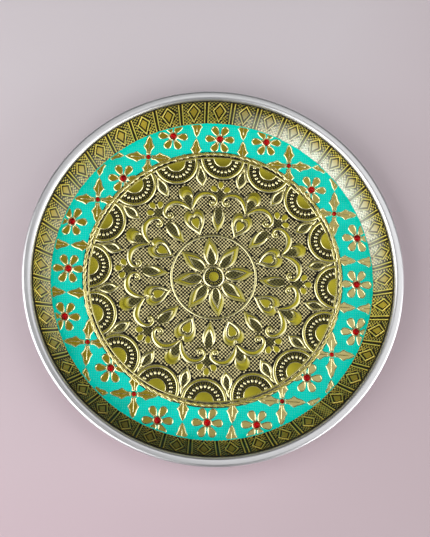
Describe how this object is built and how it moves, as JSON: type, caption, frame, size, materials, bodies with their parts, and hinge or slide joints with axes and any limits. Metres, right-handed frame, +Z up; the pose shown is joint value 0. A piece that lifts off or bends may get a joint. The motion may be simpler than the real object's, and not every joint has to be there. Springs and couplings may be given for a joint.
{
  "type": "enamel plate",
  "caption": "Round pressed steel plate with a rolled rim, lined with embossed gold-coloured foil and a band of turquoise enamel with raised flowers and red enamel drops.",
  "frame": {"origin": "centre of the flat underside", "axes": "+Z up out of the dish; +Y away from the person holding the plate; the lap seam of the border lies in the +X -Y quarter"},
  "size_m": [0.28, 0.28, 0.0215],
  "materials": {
    "polished_steel": "polished stainless steel",
    "gold_foil": "embossed foil with a gold lacquer",
    "dark_gold_foil": "embossed foil with a gold lacquer, blackened in the recesses",
    "turquoise_enamel": "opaque cold enamel",
    "red_enamel": "glossy domed enamel"
  },
  "bodies": {
    "root": {"steel_dish": "polished_steel", "trellis_foil": "gold_foil", "turquoise_enamel": "turquoise_enamel", "rope_ring": "gold_foil", "medallion_foil": "dark_gold_foil", "border_strip": "dark_gold_foil", "red_drop_01": "red_enamel", "red_drop_02": "red_enamel", "red_drop_03": "red_enamel", "red_drop_04": "red_enamel", "red_drop_05": "red_enamel", "red_drop_06": "red_enamel", "red_drop_07": "red_enamel", "red_drop_08": "red_enamel", "red_drop_09": "red_enamel", "red_drop_10": "red_enamel", "red_drop_11": "red_enamel", "red_drop_12": "red_enamel", "red_drop_13": "red_enamel", "red_drop_14": "red_enamel", "red_drop_15": "red_enamel", "red_drop_16": "red_enamel", "small_red_drop_01": "red_enamel", "small_red_drop_02": "red_enamel", "small_red_drop_03": "red_enamel", "small_red_drop_04": "red_enamel", "small_red_drop_05": "red_enamel", "small_red_drop_06": "red_enamel", "small_red_drop_07": "red_enamel", "small_red_drop_08": "red_enamel"}
  },
  "joints": []
}
